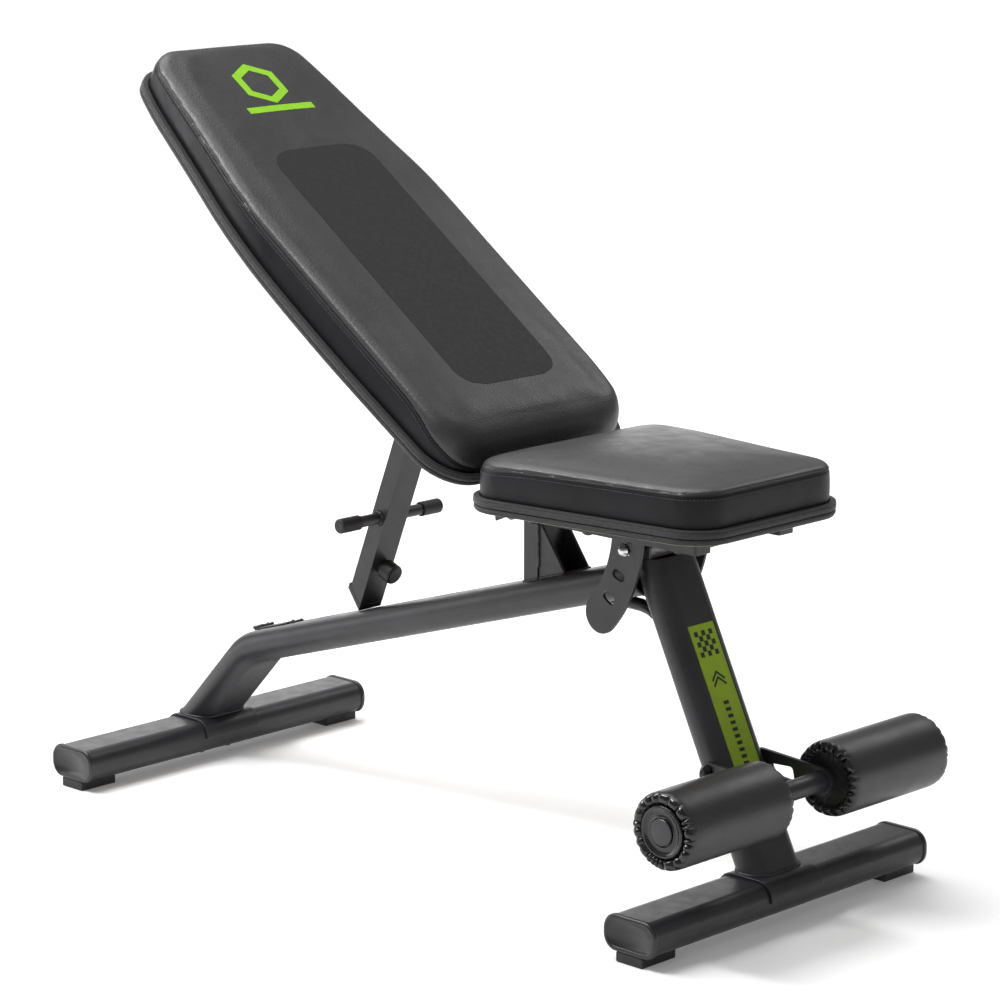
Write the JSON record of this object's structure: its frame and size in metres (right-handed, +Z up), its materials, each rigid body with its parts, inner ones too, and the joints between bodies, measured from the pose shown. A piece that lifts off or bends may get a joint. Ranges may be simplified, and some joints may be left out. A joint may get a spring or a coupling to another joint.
{
  "type": "decline sit-up bench",
  "caption": "Adjustable decline sit-up bench: padded backrest on a strut, tilting seat, foam foot rollers and a two-crossbar steel frame.",
  "frame": {"origin": "on the floor under the middle of the bench's bounding box", "axes": "+Z up, +X from the head end towards the foot rollers, so +Y is to the left of someone sitting on the seat and facing the rollers"},
  "size_m": [1.1248, 0.5006, 0.9734],
  "materials": {
    "frame_paint": "satin",
    "black_plastic": "satin",
    "rubber": "matte",
    "vinyl": "satin",
    "plywood": "matte",
    "bright_steel": "polished",
    "black_steel": "satin"
  },
  "bodies": {
    "frame": {"rear_crossbar": "frame_paint", "front_crossbar": "frame_paint", "rear_saddle": "frame_paint", "front_saddle": "frame_paint", "main_spine": "frame_paint", "catch_stop_plate": "frame_paint", "front_post": "frame_paint", "gusset_rod": "frame_paint", "centre_post": "frame_paint", "centre_brace": "frame_paint", "hinge_yoke": "frame_paint", "seat_cradle": "frame_paint", "roller_bracket_right": "frame_paint", "roller_bracket_left": "frame_paint", "roller_axle": "frame_paint", "rear_cap_right": "black_plastic", "rear_foot_right": "rubber", "rear_saddle_bolt_right": "black_steel", "rear_cap_left": "black_plastic", "rear_foot_left": "rubber", "rear_saddle_bolt_left": "black_steel", "front_cap_right": "black_plastic", "front_foot_right": "rubber", "front_saddle_bolt_right": "black_steel", "front_cap_left": "black_plastic", "front_foot_left": "rubber", "front_saddle_bolt_left": "black_steel", "backrest_axle": "black_steel", "seat_axle": "black_steel", "roller_bracket_bolt": "black_steel"},
    "backrest": {"backrest_cushion": "vinyl", "backrest_board": "plywood", "backrest_rail_right": "frame_paint", "backrest_rail_left": "frame_paint", "backrest_crossmember": "frame_paint", "strut_clevis_right": "frame_paint", "strut_clevis_left": "frame_paint", "strut_pivot_pin": "black_steel"},
    "strut": {"strut_tube": "frame_paint", "strut_foot_plate": "frame_paint", "strut_handle_bar": "frame_paint", "strut_grip_right": "rubber", "strut_grip_left": "rubber", "strut_peg": "frame_paint", "strut_peg_cap": "rubber"},
    "seat": {"seat_cushion": "vinyl", "seat_board": "plywood", "seat_rail_right": "frame_paint", "seat_rail_left": "frame_paint", "seat_rail_plug_right": "black_plastic", "seat_rail_plug_left": "black_plastic", "seat_crossmember": "frame_paint", "seat_arc_plate_right": "frame_paint", "seat_arc_plate_left": "frame_paint"},
    "seat_pin": {"seat_pin": "bright_steel"},
    "roller_right": {"foam_roller_right": "vinyl", "roller_disc_right": "black_plastic"},
    "roller_left": {"foam_roller_left": "vinyl", "roller_disc_left": "black_plastic"}
  },
  "joints": [
    {"name": "backrest_hinge", "type": "hinge", "parent": "frame", "child": "backrest", "pos_m": [0.05, 0, 0.5056], "axis": [0, 1, 0], "range_deg": [-45, 44]},
    {"name": "strut_hinge", "type": "hinge", "parent": "backrest", "child": "strut", "pos_m": [-0.1088, 0, 0.5378], "axis": [0, 1, 0], "range_deg": [-90, 90]},
    {"name": "seat_tilt", "type": "hinge", "parent": "frame", "child": "seat", "pos_m": [0.136, 0, 0.453], "axis": [0, -1, 0], "range_deg": [0, 24]},
    {"name": "seat_pin_slide", "type": "slide", "parent": "seat", "child": "seat_pin", "axis": [0, -1, 0], "range_m": [0, 0.14]},
    {"name": "roller_right_spin", "type": "hinge", "parent": "frame", "child": "roller_right", "pos_m": [0.5156, -0.145, 0.1636], "axis": [0, 1, 0], "continuous": true},
    {"name": "roller_left_spin", "type": "hinge", "parent": "frame", "child": "roller_left", "pos_m": [0.5156, 0.145, 0.1636], "axis": [0, 1, 0], "continuous": true}
  ],
  "couplings": [
    {"joint": "strut_hinge", "follows": "backrest_hinge", "ratio": -1.801}
  ]
}
